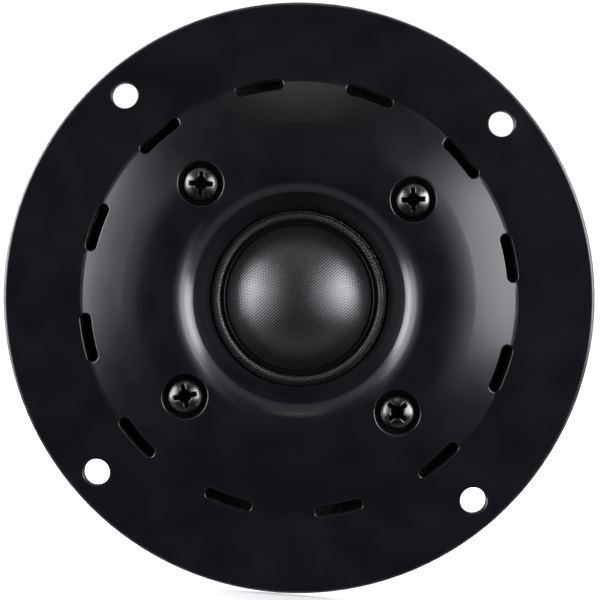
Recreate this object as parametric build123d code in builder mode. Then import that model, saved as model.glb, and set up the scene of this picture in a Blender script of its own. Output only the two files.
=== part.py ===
from build123d import *
import os
from math import asin, atan2, degrees, radians, sin, sqrt

# A soft-dome tweeter with a round screw-down flange, in millimetres. It fires along -Y, with +Z up
# and +X to the right of someone facing it. The origin is the centre of the mounting-bolt circle, in
# the plane of the flange's rear face. "Height" is distance forward of that plane, so a piece behind
# the flange has negative heights.

# Voice coil and magnetic gap
coil_bore_diameter = 25.5
former_wall = 0.12
winding_build = 0.33
winding_length = 2.6
former_tail = 0.3
gap_clearance = 0.25

# Dome and surround
fabric_thickness = 0.25
dome_rise = 6.2
brim_overhang = 0.88
roll_width = 1.5
surround_margin_width = 3.0

# Ring that carries the diaphragm, and the two pins that locate it
ring_thickness = 1.2
ring_clearance = 0.1
ring_rim_width = 1.0
pin_diameter = 2.0
pin_depth_in_plate = 2.0
pin_recess = 0.2
pin_fit = 0.03
pin_count = 2
pin_margin = 0.3

# Faceplate: the flange, and the raised horn ring round the throat
flange_thickness = 4.5
flange_front_radius = 0.6
flange_rear_radius = 0.3
flange_seat_width = 11.5
mount_hole_diameter = 4.6
mount_hole_inset = 5.0
mount_hole_chamfer = 0.2
mount_count = 4
first_mount_angle = 45.0
bulge_height = 3.12
crown_share = 0.46
crown_arc_angle = 15.0
crest_land = 2.0
shoulder_arc_radius = 5.6
shoulder_arc_angle = 48.0
throat_clearance = 0.6
throat_wall_run = 2.79
crease_outset = 0.6
crease_blend_share = 0.11
recess_clearance = 0.2

# Slots round the foot of the horn ring, and the foam behind them
slot_count = 12
slot_width = 2.0
slot_sweep = 10.0
slot_outset = 1.7
slot_land = 1.0
slot_edge_radius = 0.2
foam_thickness = 3.0
foam_clearance = 0.4

# Collar behind the flange that centres the tweeter in its cut-out, and the flange gasket
collar_wall = 1.6
collar_depth = 6.0
collar_clearance = 0.2
collar_edge_radius = 0.3
gasket_thickness = 2.0
gasket_clearance = 1.0
gasket_edge_setback = 1.0
gasket_hole_clearance = 0.4

# Screws: pan heads with a cross recess
screw_diameter = 3.0
screw_head_diameter = 6.0
screw_head_height = 2.4
screw_head_rim_height = 1.45
screw_head_edge_radius = 0.4
screw_clearance = 0.2
screw_outset = 1.6
counterbore_diameter = 8.0
counterbore_depth = 3.0
counterbore_edge_radius = 0.2
faceplate_screw_length = 8.0
cross_span = 4.4
cross_wing_width = 1.0
cross_wing_depth = 1.3
cross_wing_taper = 12.0
cross_core_radius = 1.4
cross_core_depth = 1.8
screw_turns = (7.0, 1.0, 16.0, 49.0)

# Motor: top plate, ferrite ring, back plate and vented pole piece
magnet_diameter = 72.0
magnet_height = 15.0
magnet_gap_behind_coil = 2.55
magnet_edge = 0.8
plate_setback = 1.0
top_plate_thickness = 4.0
back_plate_thickness = 5.0
plate_edge = 0.5
cap_wall = 0.3
cap_length_below_plate = 2.0
pole_setback = 0.5
pole_spigot_step = 2.2
vent_diameter = 9.0
felt_thickness = 1.8
felt_vent_clearance = 1.0
felt_setback = 1.5

# Rear chamber, its gasket, its wool and its screws
chamber_diameter = 44.0
chamber_depth = 15.0
chamber_wall = 2.0
chamber_rim_width = 8.0
chamber_rim_thickness = 3.0
chamber_gasket_thickness = 0.8
chamber_edge_radius = 1.5
chamber_root_radius = 1.0
chamber_screw_count = 3
chamber_screw_length = 8.0
first_chamber_screw_angle = 90.0
wool_clearance = 0.5
wool_gap_behind_plate = 3.0

# Terminals at the foot of the motor: an insulating board with a wide and a narrow tab
board_thickness = 1.2
board_standoff = 1.0
board_length = 14.0
board_width = 15.0
tongue_width = 9.0
tongue_clearance = 0.1
tongue_depth = 1.5
tongue_shoulder = 0.5
terminal_spacing = 7.6
positive_tab_width = 4.8
positive_tab_thickness = 0.8
negative_tab_width = 2.8
negative_tab_thickness = 0.5
tab_overhang = 8.0
tab_setback = 7.5
tab_tip_chamfer = 0.7
tab_eye_diameter = 1.4
tab_eye_inset = 3.2
rivet_diameter = 1.6
rivet_head_diameter = 2.6
rivet_head_height = 0.4
rivet_setback = 10.0
lead_diameter = 0.3
lead_height = 0.35
lead_groove_width = 1.2
lead_groove_depth = 0.7
lead_coil_bend = 0.4
lead_edge_bend = 1.0

# Radii that follow, from the coil outwards
former_inner = coil_bore_diameter / 2
former_outer = former_inner + former_wall
winding_outer = former_outer + winding_build
plate_bore = winding_outer + gap_clearance
brim_radius = former_outer + brim_overhang
roll_radius = roll_width / 2
roll_centre = brim_radius + roll_radius
roll_outer = brim_radius + roll_width
throat_radius = roll_outer + throat_clearance
ring_inner = roll_outer + ring_clearance
margin_outer = ring_inner + surround_margin_width
pin_circle = margin_outer + pin_margin + pin_diameter / 2
ring_outer = pin_circle + pin_diameter / 2 + ring_rim_width
recess_radius = ring_outer + recess_clearance
magnet_bore = plate_bore + magnet_gap_behind_coil
magnet_radius = magnet_diameter / 2
plate_radius = magnet_radius - plate_setback
shoulder_run = shoulder_arc_radius * sin(radians(shoulder_arc_angle))
crest_inner = throat_radius + throat_wall_run + shoulder_run
crest_outer = crest_inner + crest_land
screw_circle = crest_outer + screw_outset
counterbore_reach = screw_circle + counterbore_diameter / 2
slot_circle = max(magnet_radius + slot_outset, counterbore_reach + slot_land + slot_width / 2)
crease_radius = slot_circle + crease_outset
bulge_run = crease_radius - crest_outer
crown_arc_radius = bulge_run * crown_share / sin(radians(crown_arc_angle))
crease_blend_radius = bulge_run * crease_blend_share
collar_inner = slot_circle + slot_width / 2 + collar_clearance
collar_outer = collar_inner + collar_wall
flange_radius = collar_outer + flange_seat_width
mount_circle = flange_radius - mount_hole_inset

# Heights that follow, from the top plate's front face, which lies in the flange's rear plane
throat_height = ring_thickness + fabric_thickness
crest_height = flange_thickness + bulge_height
dome_arc_radius = (former_inner**2 + dome_rise**2) / (2 * dome_rise)
dome_apex = throat_height + dome_rise
dome_centre = dome_apex - dome_arc_radius
coil_centre = -top_plate_thickness / 2
winding_front = coil_centre + winding_length / 2
winding_rear = coil_centre - winding_length / 2
magnet_rear = -top_plate_thickness - magnet_height
motor_rear = magnet_rear - back_plate_thickness
screw_seat = crest_height - counterbore_depth
pole_front = -pole_setback
pole_radius = former_inner - gap_clearance - cap_wall
spigot_radius = pole_radius - pole_spigot_step
cap_front = pole_front + cap_wall
chamber_seat = motor_rear - chamber_gasket_thickness
chamber_rim_rear = chamber_seat - chamber_rim_thickness
chamber_rear = chamber_seat - chamber_depth
chamber_radius = chamber_diameter / 2
chamber_rim_radius = chamber_radius + chamber_rim_width
chamber_screw_circle = chamber_radius + chamber_rim_width / 2
board_inner = magnet_radius + board_standoff
board_outer = board_inner + board_thickness

SECTION = Plane(origin=(0, 0, 0), x_dir=(1, 0, 0), z_dir=(0, 0, -1))


def facing(height):
    """The plane across the firing axis at a height, seen from the front."""
    return Plane.XZ.offset(height)


def circle_edges(part, radius, height):
    """The round edges about the firing axis with this radius, at this height."""
    rounds = part.edges().filter_by(GeomType.CIRCLE)
    sized = rounds.filter_by(lambda edge: abs(edge.radius - radius) < 1e-4)
    return sized.filter_by(lambda edge: abs(edge.arc_center.Y + height) < 1e-4)


def edges_forward_of(edges, height):
    """Those edges that lie wholly forward of a height."""
    return edges.filter_by(lambda edge: edge.bounding_box().max.Y < -height)


os.makedirs("parts", exist_ok=True)

# The faceplate is one moulding: a flat flange, the horn ring with its rolled shoulder and throat,
# and a thin collar behind.
with BuildPart() as faceplate:
    with BuildSketch(SECTION):
        with BuildLine():
            Polyline(
                (throat_radius, throat_height),
                (recess_radius, throat_height),
                (recess_radius, 0),
                (collar_inner, 0),
                (collar_inner, -collar_depth),
                (collar_outer, -collar_depth),
                (collar_outer, 0),
                (flange_radius, 0),
                (flange_radius, flange_thickness),
                (crease_radius, flange_thickness),
            )
            crown = JernArc((crest_outer, crest_height), (1, 0), crown_arc_radius, -crown_arc_angle)
            TangentArc(crown @ 1, (crease_radius, flange_thickness), tangent=crown % 1)
            crest = Line((crest_outer, crest_height), (crest_inner, crest_height))
            shoulder = JernArc(crest @ 1, (-1, 0), shoulder_arc_radius, shoulder_arc_angle)
            TangentArc(shoulder @ 1, (throat_radius, throat_height), tangent=shoulder % 1)
        make_face()
    revolve(axis=Axis.Y)
    fillet(circle_edges(faceplate, crease_radius, flange_thickness), crease_blend_radius)
    fillet(circle_edges(faceplate, flange_radius, flange_thickness), flange_front_radius)
    fillet(circle_edges(faceplate, flange_radius, 0), flange_rear_radius)
    fillet(circle_edges(faceplate, collar_outer, -collar_depth), collar_edge_radius)
    fillet(circle_edges(faceplate, collar_inner, -collar_depth), collar_edge_radius)

    with Locations(facing(crest_height)):
        with PolarLocations(screw_circle, mount_count, first_mount_angle):
            CounterBoreHole(
                screw_diameter / 2 + screw_clearance, counterbore_diameter / 2, counterbore_depth
            )
    counterbore_rims = edges_forward_of(faceplate.edges(Select.LAST), crest_height - counterbore_depth / 2)
    fillet(counterbore_rims, counterbore_edge_radius)
    with Locations(facing(flange_thickness)):
        with PolarLocations(mount_circle, mount_count, first_mount_angle):
            Hole(mount_hole_diameter / 2)
    chamfer(edges_forward_of(faceplate.edges(Select.LAST), flange_thickness / 2), mount_hole_chamfer)

    with BuildSketch(facing(0)):
        for slot in range(slot_count):
            slot_start = first_mount_angle + slot * 360 / slot_count - slot_sweep / 2
            slot_line = CenterArc((0, 0), slot_circle, slot_start, slot_sweep, mode=Mode.PRIVATE)
            SlotArc(slot_line, slot_width)
    extrude(amount=crest_height, mode=Mode.SUBTRACT)
    fillet(edges_forward_of(faceplate.edges(Select.LAST), flange_thickness / 2), slot_edge_radius)

    # Grooves for the two leads, and the pocket for the terminal board's tongue
    with BuildSketch(facing(0)):
        with Locations((-terminal_spacing / 2, 0), (terminal_spacing / 2, 0)):
            Rectangle(lead_groove_width, board_inner, align=(Align.CENTER, Align.MAX))
    extrude(amount=lead_groove_depth, mode=Mode.SUBTRACT)
    with BuildSketch(facing(0)):
        with Locations((0, -(board_inner + board_outer) / 2)):
            Rectangle(tongue_width + 2 * tongue_clearance, board_thickness + 2 * tongue_clearance)
    extrude(amount=tongue_depth + tongue_clearance, mode=Mode.SUBTRACT)
faceplate.part.label = "faceplate"
export_step(faceplate.part, "parts/faceplate.step")

# Foam strip that backs the slots. It stops either side of the terminal board.
with BuildPart() as slot_foam:
    with BuildSketch(facing(0)):
        Circle(collar_inner - foam_clearance / 2)
        Circle(plate_radius + foam_clearance, mode=Mode.SUBTRACT)
        with Locations((0, -slot_circle)):
            Rectangle(tongue_width + 2 * foam_clearance, slot_circle / 2, mode=Mode.SUBTRACT)
    extrude(amount=-foam_thickness)
slot_foam.part.label = "slot_foam"
export_step(slot_foam.part, "parts/slot_foam.step")

# Closed-cell gasket that seals the flange to its panel
with BuildPart() as flange_gasket:
    with BuildSketch(facing(0)):
        Circle(flange_radius - gasket_edge_setback)
        Circle(collar_outer + gasket_clearance, mode=Mode.SUBTRACT)
        with PolarLocations(mount_circle, mount_count, first_mount_angle):
            Circle(mount_hole_diameter / 2 + gasket_hole_clearance, mode=Mode.SUBTRACT)
    extrude(amount=-gasket_thickness)
flange_gasket.part.label = "flange_gasket"
export_step(flange_gasket.part, "parts/flange_gasket.step")

# Fabric dome with a flat brim, which is glued on the end of the voice-coil former
dome_inner_arc_radius = dome_arc_radius - fabric_thickness
brim_rear_edge = sqrt(dome_inner_arc_radius**2 - (ring_thickness - dome_centre) ** 2)
dome_sweep = degrees(asin(former_inner / dome_arc_radius))
dome_inner_sweep = degrees(atan2(brim_rear_edge, ring_thickness - dome_centre))
with BuildPart() as dome:
    with BuildSketch(SECTION):
        with BuildLine():
            crown_line = CenterArc((0, dome_centre), dome_arc_radius, 90, -dome_sweep)
            under_line = CenterArc((0, dome_centre), dome_inner_arc_radius, 90, -dome_inner_sweep)
            Polyline(
                crown_line @ 1,
                (brim_radius, throat_height),
                (brim_radius, ring_thickness),
                under_line @ 1,
            )
            Line(crown_line @ 0, under_line @ 0)
        make_face()
    revolve(axis=Axis.Y)
dome.part.label = "dome"
export_step(dome.part, "parts/dome.step")

# Half-roll surround of the same fabric, with a flat margin that the faceplate clamps
with BuildPart() as surround:
    with BuildSketch(SECTION):
        with Locations((roll_centre, ring_thickness)):
            Circle(roll_radius)
            Circle(roll_radius - fabric_thickness, mode=Mode.SUBTRACT)
            Rectangle(2 * roll_width, roll_width, align=(Align.CENTER, Align.MAX), mode=Mode.SUBTRACT)
        with Locations((roll_outer - fabric_thickness, ring_thickness)):
            Rectangle(
                margin_outer - roll_outer + fabric_thickness,
                fabric_thickness,
                align=(Align.MIN, Align.MIN),
            )
    revolve(axis=Axis.Y)
surround.part.label = "surround"
export_step(surround.part, "parts/surround.step")

# Voice-coil former, a thin tube under the dome's brim, and the winding on it
with BuildPart() as voice_coil_former:
    with BuildSketch(facing(ring_thickness)):
        Circle(former_outer)
        Circle(former_inner, mode=Mode.SUBTRACT)
    extrude(amount=winding_rear - former_tail - ring_thickness)
voice_coil_former.part.label = "voice_coil_former"
export_step(voice_coil_former.part, "parts/voice_coil_former.step")

with BuildPart() as voice_coil_winding:
    with BuildSketch(facing(winding_rear)):
        Circle(winding_outer)
        Circle(former_outer, mode=Mode.SUBTRACT)
    extrude(amount=winding_length)
voice_coil_winding.part.label = "voice_coil_winding"
export_step(voice_coil_winding.part, "parts/voice_coil_winding.step")

# Moulded ring that the surround is glued to. It sits on the top plate over two pins, and its rear
# face is grooved for the leads.
with BuildPart() as diaphragm_ring:
    with BuildSketch(facing(0)):
        Circle(ring_outer)
        Circle(ring_inner, mode=Mode.SUBTRACT)
        with PolarLocations(pin_circle, pin_count):
            Circle(pin_diameter / 2 + pin_fit, mode=Mode.SUBTRACT)
    extrude(amount=ring_thickness)
    with BuildSketch(facing(0)):
        with Locations((-terminal_spacing / 2, 0), (terminal_spacing / 2, 0)):
            Rectangle(lead_groove_width, ring_outer, align=(Align.CENTER, Align.MAX))
    extrude(amount=lead_groove_depth, mode=Mode.SUBTRACT)
diaphragm_ring.part.label = "diaphragm_ring"
export_step(diaphragm_ring.part, "parts/diaphragm_ring.step")

# Dowel pins pressed into the top plate
with BuildPart() as locating_pins:
    with BuildSketch(facing(-pin_depth_in_plate)):
        with PolarLocations(pin_circle, pin_count):
            Circle(pin_diameter / 2)
    extrude(amount=pin_depth_in_plate + ring_thickness - pin_recess)
locating_pins.part.label = "locating_pins"
export_step(locating_pins.part, "parts/locating_pins.step")

# Steel top plate: its bore is the outside of the magnetic gap, and the faceplate screws into it
with BuildPart() as top_plate:
    with BuildSketch(facing(-top_plate_thickness)):
        Circle(plate_radius)
        Circle(plate_bore, mode=Mode.SUBTRACT)
        with PolarLocations(screw_circle, mount_count, first_mount_angle):
            Circle(screw_diameter / 2, mode=Mode.SUBTRACT)
    extrude(amount=top_plate_thickness)
    chamfer(circle_edges(top_plate, plate_radius, 0), plate_edge)
    with BuildSketch(facing(0)):
        with PolarLocations(pin_circle, pin_count):
            Circle(pin_diameter / 2)
    extrude(amount=-pin_depth_in_plate, mode=Mode.SUBTRACT)
top_plate.part.label = "top_plate"
export_step(top_plate.part, "parts/top_plate.step")

# Ferrite ring magnet, glued between the plates
with BuildPart() as magnet:
    with BuildSketch(facing(magnet_rear)):
        Circle(magnet_radius)
        Circle(magnet_bore, mode=Mode.SUBTRACT)
    extrude(amount=magnet_height)
    chamfer(circle_edges(magnet, magnet_radius, -top_plate_thickness), magnet_edge)
    chamfer(circle_edges(magnet, magnet_radius, magnet_rear), magnet_edge)
magnet.part.label = "magnet"
export_step(magnet.part, "parts/magnet.step")

# Steel back plate, bored for the pole piece's spigot and tapped for the chamber's screws
with BuildPart() as back_plate:
    with BuildSketch(facing(motor_rear)):
        Circle(plate_radius)
        Circle(spigot_radius, mode=Mode.SUBTRACT)
        with PolarLocations(chamber_screw_circle, chamber_screw_count, first_chamber_screw_angle):
            Circle(screw_diameter / 2, mode=Mode.SUBTRACT)
    extrude(amount=back_plate_thickness)
    chamfer(circle_edges(back_plate, plate_radius, motor_rear), plate_edge)
back_plate.part.label = "back_plate"
export_step(back_plate.part, "parts/back_plate.step")

# Vented pole piece with a stepped spigot pressed into the back plate
with BuildPart() as pole_piece:
    with BuildSketch(SECTION):
        with BuildLine():
            Polyline(
                (vent_diameter / 2, pole_front),
                (pole_radius, pole_front),
                (pole_radius, magnet_rear),
                (spigot_radius, magnet_rear),
                (spigot_radius, motor_rear),
                (vent_diameter / 2, motor_rear),
                close=True,
            )
        make_face()
    revolve(axis=Axis.Y)
pole_piece.part.label = "pole_piece"
export_step(pole_piece.part, "parts/pole_piece.step")

# Copper cap over the pole tip, which keeps the coil's inductance down
cap_rear = -top_plate_thickness - cap_length_below_plate
with BuildPart() as copper_cap:
    with BuildSketch(facing(cap_rear)):
        Circle(pole_radius + cap_wall)
        Circle(pole_radius, mode=Mode.SUBTRACT)
    extrude(amount=pole_front - cap_rear)
    with BuildSketch(facing(pole_front)):
        Circle(pole_radius + cap_wall)
        Circle(vent_diameter / 2, mode=Mode.SUBTRACT)
    extrude(amount=cap_wall)
copper_cap.part.label = "copper_cap"
export_step(copper_cap.part, "parts/copper_cap.step")

# Felt ring on the cap, which damps the air under the dome
with BuildPart() as pole_felt:
    with BuildSketch(facing(cap_front)):
        Circle(pole_radius + cap_wall - felt_setback)
        Circle(vent_diameter / 2 + felt_vent_clearance, mode=Mode.SUBTRACT)
    extrude(amount=felt_thickness)
pole_felt.part.label = "pole_felt"
export_step(pole_felt.part, "parts/pole_felt.step")

# Foam gasket between the back plate and the rear chamber
with BuildPart() as chamber_gasket:
    with BuildSketch(facing(chamber_seat)):
        Circle(chamber_rim_radius)
        Circle(chamber_radius - chamber_wall, mode=Mode.SUBTRACT)
        with PolarLocations(chamber_screw_circle, chamber_screw_count, first_chamber_screw_angle):
            Circle(screw_diameter / 2 + screw_clearance, mode=Mode.SUBTRACT)
    extrude(amount=chamber_gasket_thickness)
chamber_gasket.part.label = "chamber_gasket"
export_step(chamber_gasket.part, "parts/chamber_gasket.step")

# Rear chamber, a moulded cup with a screw-down rim
with BuildPart() as rear_chamber:
    with BuildSketch(facing(chamber_seat)):
        Circle(chamber_rim_radius)
    extrude(amount=-chamber_rim_thickness)
    with BuildSketch(facing(chamber_seat)):
        Circle(chamber_radius)
    extrude(amount=-chamber_depth)
    fillet(circle_edges(rear_chamber, chamber_radius, chamber_rear), chamber_edge_radius)
    fillet(circle_edges(rear_chamber, chamber_radius, chamber_rim_rear), chamber_root_radius)
    chamfer(circle_edges(rear_chamber, chamber_rim_radius, chamber_rim_rear), plate_edge)
    with BuildSketch(facing(chamber_seat)):
        Circle(chamber_radius - chamber_wall)
    extrude(amount=chamber_wall - chamber_depth, mode=Mode.SUBTRACT)
    with BuildSketch(facing(chamber_seat)):
        with PolarLocations(chamber_screw_circle, chamber_screw_count, first_chamber_screw_angle):
            Circle(screw_diameter / 2 + screw_clearance)
    extrude(amount=-chamber_rim_thickness, mode=Mode.SUBTRACT)
rear_chamber.part.label = "rear_chamber"
export_step(rear_chamber.part, "parts/rear_chamber.step")

# Polyester wool that fills the chamber, short of the back plate
with BuildPart() as chamber_wool:
    with BuildSketch(facing(chamber_rear + chamber_wall)):
        Circle(chamber_radius - chamber_wall - wool_clearance)
    extrude(amount=chamber_depth - chamber_wall - wool_gap_behind_plate)
chamber_wool.part.label = "chamber_wool"
export_step(chamber_wool.part, "parts/chamber_wool.step")


def pan_screw(length):
    """A pan-head screw with a cross recess, standing on XY with its head up and its shank below."""
    with BuildPart() as screw:
        with BuildSketch(Plane.XZ) as profile:
            with BuildLine():
                Polyline(
                    (0, screw_head_height),
                    (0, -length),
                    (screw_diameter / 2, -length),
                    (screw_diameter / 2, 0),
                    (screw_head_diameter / 2, 0),
                    (screw_head_diameter / 2, screw_head_rim_height),
                )
                TangentArc(
                    (0, screw_head_height),
                    (screw_head_diameter / 2, screw_head_rim_height),
                    tangent=(1, 0),
                )
            make_face()
            head_edge = profile.vertices().group_by(Axis.X)[-1].sort_by(Axis.Y)[-1]
            fillet(head_edge, screw_head_edge_radius)
        revolve(axis=Axis.Z)
        with BuildSketch(Plane.XY.offset(screw_head_height)):
            Rectangle(cross_span, cross_wing_width)
            Rectangle(cross_wing_width, cross_span)
        extrude(amount=-cross_wing_depth, taper=cross_wing_taper, mode=Mode.SUBTRACT)
        with Locations((0, 0, screw_head_height)):
            Cone(
                cross_core_radius,
                cross_wing_width / 4,
                cross_core_depth,
                align=(Align.CENTER, Align.CENTER, Align.MIN),
                rotation=(180, 0, 0),
                mode=Mode.SUBTRACT,
            )
    return screw.part


# Four screws hold the faceplate to the top plate. Each was left turned by its own amount.
faceplate_screw = pan_screw(faceplate_screw_length)
with BuildPart() as faceplate_screws:
    for corner, turn in enumerate(screw_turns):
        with Locations(facing(screw_seat)):
            with PolarLocations(screw_circle, 1, first_mount_angle + corner * 90, rotate=False):
                add(faceplate_screw, rotation=(0, 0, turn))
faceplate_screws.part.label = "faceplate_screws"
export_step(faceplate_screws.part, "parts/faceplate_screws.step")

# Three screws hold the rear chamber to the back plate
chamber_screw = pan_screw(chamber_screw_length)
with BuildPart() as chamber_screws:
    with Locations(Plane(origin=(0, -chamber_rim_rear, 0), x_dir=(1, 0, 0), z_dir=(0, 1, 0))):
        with PolarLocations(chamber_screw_circle, chamber_screw_count, -first_chamber_screw_angle):
            add(chamber_screw)
chamber_screws.part.label = "chamber_screws"
export_step(chamber_screws.part, "parts/chamber_screws.step")

# Insulating board at the foot of the motor. Its tongue plugs into the faceplate's pocket, and it
# widens behind the collar.
board_plane = Plane(origin=(0, 0, -board_inner), x_dir=(1, 0, 0), z_dir=(0, 0, -1))
collar_rear = collar_depth + tongue_shoulder
with BuildPart() as terminal_board:
    with BuildSketch(board_plane):
        with Locations((0, tongue_depth)):
            Rectangle(tongue_width, tongue_depth + board_length, align=(Align.CENTER, Align.MAX))
        with Locations((0, -collar_rear)):
            Rectangle(board_width, board_length - collar_rear, align=(Align.CENTER, Align.MAX))
        with Locations((-terminal_spacing / 2, -rivet_setback), (terminal_spacing / 2, -rivet_setback)):
            Circle(rivet_diameter / 2, mode=Mode.SUBTRACT)
    extrude(amount=board_thickness)
terminal_board.part.label = "terminal_board"
export_step(terminal_board.part, "parts/terminal_board.step")

# Push-on tabs: the positive one is the wide one
terminals = (
    ("terminal_positive", -1, positive_tab_width, positive_tab_thickness),
    ("terminal_negative", 1, negative_tab_width, negative_tab_thickness),
)
tab_length = board_length + tab_overhang - tab_setback
for name, side, tab_width, tab_thickness in terminals:
    tab_x = side * terminal_spacing / 2
    with BuildPart() as tab:
        with BuildSketch(board_plane.offset(board_thickness)):
            with Locations((tab_x, -tab_setback)):
                Rectangle(tab_width, tab_length, align=(Align.CENTER, Align.MAX))
            with Locations((tab_x, -rivet_setback)):
                Circle(rivet_diameter / 2, mode=Mode.SUBTRACT)
            with Locations((tab_x, -tab_setback - tab_length + tab_eye_inset)):
                Circle(tab_eye_diameter / 2, mode=Mode.SUBTRACT)
        extrude(amount=tab_thickness)
        chamfer(tab.edges().filter_by(Axis.Z).group_by(Axis.Y)[-1], tab_tip_chamfer)
    tab.part.label = name
    export_step(tab.part, f"parts/{name}.step")

# One rivet through the board for each tab, with its inner head against the board's inner face
with BuildPart() as terminal_rivets:
    for name, side, tab_width, tab_thickness in terminals:
        rivet_place = (side * terminal_spacing / 2, -rivet_setback)
        rivet_stack = board_thickness + tab_thickness
        with BuildSketch(board_plane):
            with Locations(rivet_place):
                Circle(rivet_diameter / 2)
        extrude(amount=rivet_stack)
        with BuildSketch(board_plane):
            with Locations(rivet_place):
                Circle(rivet_head_diameter / 2)
        extrude(amount=-rivet_head_height)
        with BuildSketch(board_plane.offset(rivet_stack)):
            with Locations(rivet_place):
                Circle(rivet_head_diameter / 2)
        extrude(amount=rivet_head_height)
terminal_rivets.part.label = "terminal_rivets"
export_step(terminal_rivets.part, "parts/terminal_rivets.step")

# Leads: from the winding's front edge, forward through the gap, out through the grooves over the
# top plate, round its edge and back to the rivets.
lead_start_radius = former_outer + winding_build / 2
lead_x = terminal_spacing / 2
lead_start_z = -sqrt(lead_start_radius**2 - lead_x**2)
lead_run_z = -(board_inner - rivet_head_height - lead_diameter / 2)
for name, side in (("lead_wire_positive", -1), ("lead_wire_negative", 1)):
    with BuildPart() as lead:
        with BuildLine(Plane.YZ.offset(side * lead_x)) as route:
            FilletPolyline(
                (-winding_front, lead_start_z),
                (-lead_height, lead_start_z),
                (-lead_height, lead_run_z),
                (rivet_setback, lead_run_z),
                radius=[lead_coil_bend, lead_edge_bend],
            )
        with BuildSketch(Plane(origin=route.line @ 0, z_dir=route.line % 0)):
            Circle(lead_diameter / 2)
        sweep(path=route.line)
    lead.part.label = name
    export_step(lead.part, f"parts/{name}.step")
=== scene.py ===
from math import atan2, cos, pi, radians, sin, sqrt

import bmesh
import bpy
from mathutils import Matrix, Vector
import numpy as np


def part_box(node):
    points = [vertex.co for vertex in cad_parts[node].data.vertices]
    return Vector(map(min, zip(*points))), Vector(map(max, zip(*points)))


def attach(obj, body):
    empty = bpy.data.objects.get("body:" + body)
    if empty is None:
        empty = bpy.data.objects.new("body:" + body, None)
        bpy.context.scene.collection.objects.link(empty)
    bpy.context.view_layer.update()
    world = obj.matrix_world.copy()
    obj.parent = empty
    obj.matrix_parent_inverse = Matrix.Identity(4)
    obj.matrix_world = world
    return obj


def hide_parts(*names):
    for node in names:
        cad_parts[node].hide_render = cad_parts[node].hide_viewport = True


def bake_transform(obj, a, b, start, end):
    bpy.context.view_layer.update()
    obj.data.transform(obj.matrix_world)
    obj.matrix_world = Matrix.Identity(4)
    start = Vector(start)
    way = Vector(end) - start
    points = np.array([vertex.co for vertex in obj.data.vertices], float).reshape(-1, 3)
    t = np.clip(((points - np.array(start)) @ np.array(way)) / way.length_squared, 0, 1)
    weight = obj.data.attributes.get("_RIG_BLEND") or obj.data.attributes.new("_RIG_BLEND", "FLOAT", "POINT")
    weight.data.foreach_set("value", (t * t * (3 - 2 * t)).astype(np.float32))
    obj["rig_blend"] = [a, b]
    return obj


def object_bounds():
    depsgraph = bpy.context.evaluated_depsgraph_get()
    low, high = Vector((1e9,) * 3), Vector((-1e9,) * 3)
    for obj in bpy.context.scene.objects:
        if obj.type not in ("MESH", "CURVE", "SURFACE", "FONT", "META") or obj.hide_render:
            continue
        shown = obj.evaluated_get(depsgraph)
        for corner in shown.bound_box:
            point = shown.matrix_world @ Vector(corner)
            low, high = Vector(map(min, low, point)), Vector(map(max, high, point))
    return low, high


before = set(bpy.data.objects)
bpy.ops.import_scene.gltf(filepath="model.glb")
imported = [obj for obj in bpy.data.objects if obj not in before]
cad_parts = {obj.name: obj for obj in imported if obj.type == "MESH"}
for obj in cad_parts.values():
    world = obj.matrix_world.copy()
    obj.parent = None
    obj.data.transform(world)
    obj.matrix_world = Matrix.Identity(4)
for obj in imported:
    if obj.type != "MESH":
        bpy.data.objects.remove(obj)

# Everything is in metres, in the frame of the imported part: the tweeter fires along -Y, +Z is up, and
# the front face of the top plate and the back of the flange both lie at Y = 0. Sizes without a unit are
# in millimetres, and MM turns them into metres.
MM = 0.001
cad_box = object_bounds()


# -----------------------------------------------------------------------------
# Top plate, back plate and pole piece: low-carbon steel, turned on their faces and zinc plated. The
# plates are glued to the magnet, and the pole's spigot is pressed into the back plate.
# -----------------------------------------------------------------------------
def put(tree, kind, inputs=None, **settings):
    """Places one shader node. An input is given either a value or the socket it is joined to."""
    node = tree.nodes.new("ShaderNode" + kind)
    for name, value in settings.items():
        setattr(node, name, value)
    for name, value in (inputs or {}).items():
        if isinstance(value, bpy.types.NodeSocket):
            tree.links.new(value, node.inputs[name])
        else:
            node.inputs[name].default_value = value
    return node


def maths(tree, operation, first, second=0.0, third=0.0):
    node = put(tree, "Math", {0: first, 1: second, 2: third}, operation=operation)
    return node.outputs[0]


def spread(tree, value, low, high, to_low, to_high, smooth=False):
    """Stretches a value's range from low..high to to_low..to_high, and holds it there."""
    node = put(tree, "MapRange", {0: value, 1: low, 2: high, 3: to_low, 4: to_high})
    node.interpolation_type = "SMOOTHSTEP" if smooth else "LINEAR"
    return node.outputs[0]


def tint(tree, amount, low, high):
    """A colour between two, by an amount from 0 to 1."""
    node = put(tree, "Mix", data_type="RGBA")
    node.inputs[6].default_value = (*low, 1) if not isinstance(low, bpy.types.NodeSocket) else (0, 0, 0, 1)
    node.inputs[7].default_value = (*high, 1)
    if isinstance(low, bpy.types.NodeSocket):
        tree.links.new(low, node.inputs[6])
    tree.links.new(amount, node.inputs[0])
    return node.outputs[2]


def over_noise(tree, pattern, low, high):
    """Stretches a noise pattern, which seldom leaves 0.3..0.7, to low..high."""
    return spread(tree, pattern, 0.3, 0.7, low, high)


def from_axis(tree, place):
    """A place's distance from the firing axis, and its separate parts."""
    parts = put(tree, "SeparateXYZ", {0: place})
    flat_place = put(tree, "CombineXYZ", {0: parts.outputs[0], 1: parts.outputs[2]})
    reach = put(tree, "VectorMath", {0: flat_place.outputs[0]}, operation="LENGTH")
    return reach.outputs["Value"], parts


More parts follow.
